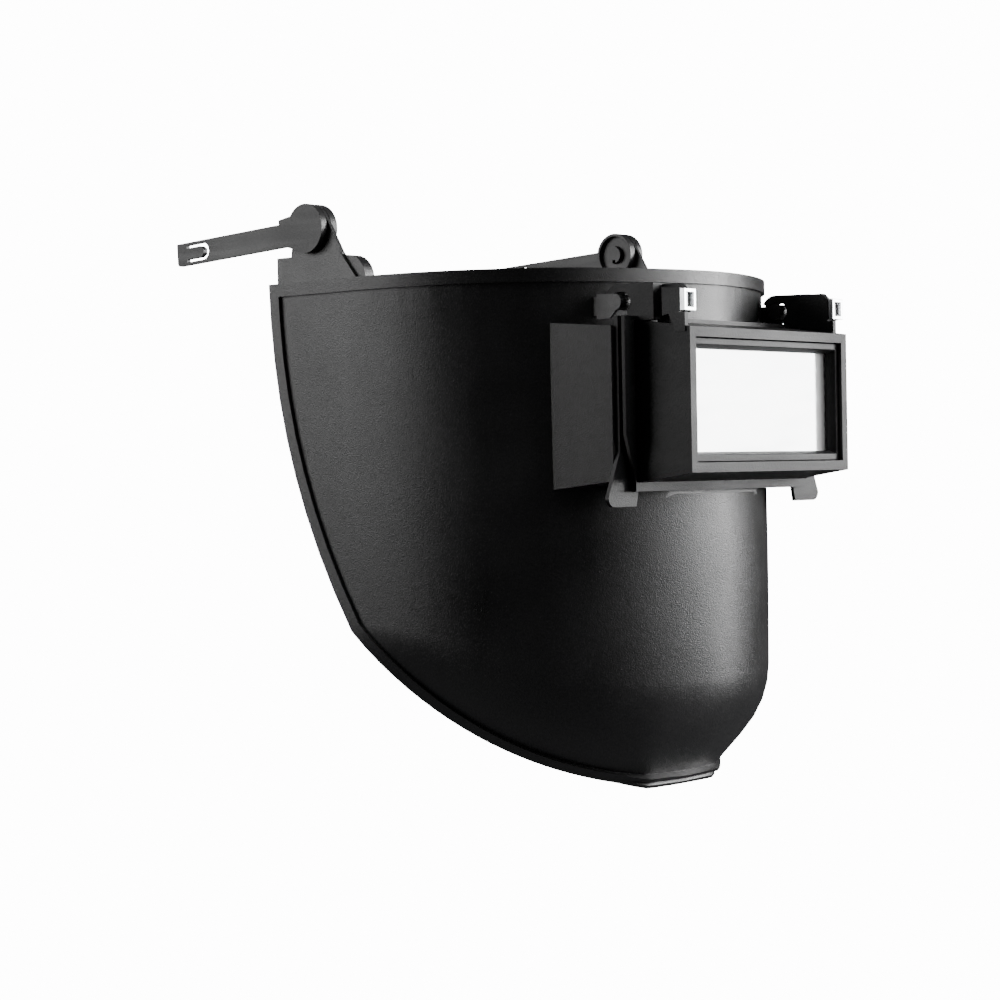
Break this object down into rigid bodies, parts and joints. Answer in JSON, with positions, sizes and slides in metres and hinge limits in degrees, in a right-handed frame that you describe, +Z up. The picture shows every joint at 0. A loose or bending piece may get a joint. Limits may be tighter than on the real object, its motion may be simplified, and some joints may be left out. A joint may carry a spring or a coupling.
{
  "type": "hard hat welding shield with lift-up front",
  "caption": "Black moulded face shield that hangs from a hard hat by two blade arms, with a hinged lift-up welding lens front over a clear plate.",
  "frame": {"origin": "midway between the two arm pivots, where the shield hangs from the sides of a hard hat", "axes": "+Z up, the shield faces -Y, the wearer's right is -X"},
  "size_m": [0.23, 0.258, 0.2637],
  "materials": {
    "shell_plastic": "satin black with a fine moulded grain",
    "front_plastic": "satin black, smoother than the shell",
    "arm_plastic": "satin black with crisp edges",
    "filter_glass": "polished plate with a bright pale reflection",
    "clear_plate": "clear polished plate",
    "clip_steel": "bright spring steel"
  },
  "bodies": {
    "shield": {"face_shell": "shell_plastic", "safety_plate": "clear_plate"},
    "lift": {"lift_front": "front_plastic", "filter_plate": "filter_glass", "window_bezel": "front_plastic", "lens_clip_right": "clip_steel", "lens_clip_left": "clip_steel"},
    "right_arm": {"arm_right": "arm_plastic", "pivot_cup_right": "arm_plastic"},
    "left_arm": {"arm_left": "arm_plastic", "pivot_cup_left": "arm_plastic"}
  },
  "joints": [
    {"name": "lift_hinge", "type": "hinge", "parent": "shield", "child": "lift", "pos_m": [0, -0.1357, -0.0389], "axis": [-1, 0, 0], "range_deg": [0, 80]},
    {"name": "right_arm_pivot", "type": "hinge", "parent": "shield", "child": "right_arm", "pos_m": [-0.115, 0, 0], "axis": [1, 0, 0], "range_deg": [-25, 100]},
    {"name": "left_arm_pivot", "type": "hinge", "parent": "shield", "child": "left_arm", "pos_m": [0.115, 0, 0], "axis": [1, 0, 0], "range_deg": [-25, 100]}
  ]
}
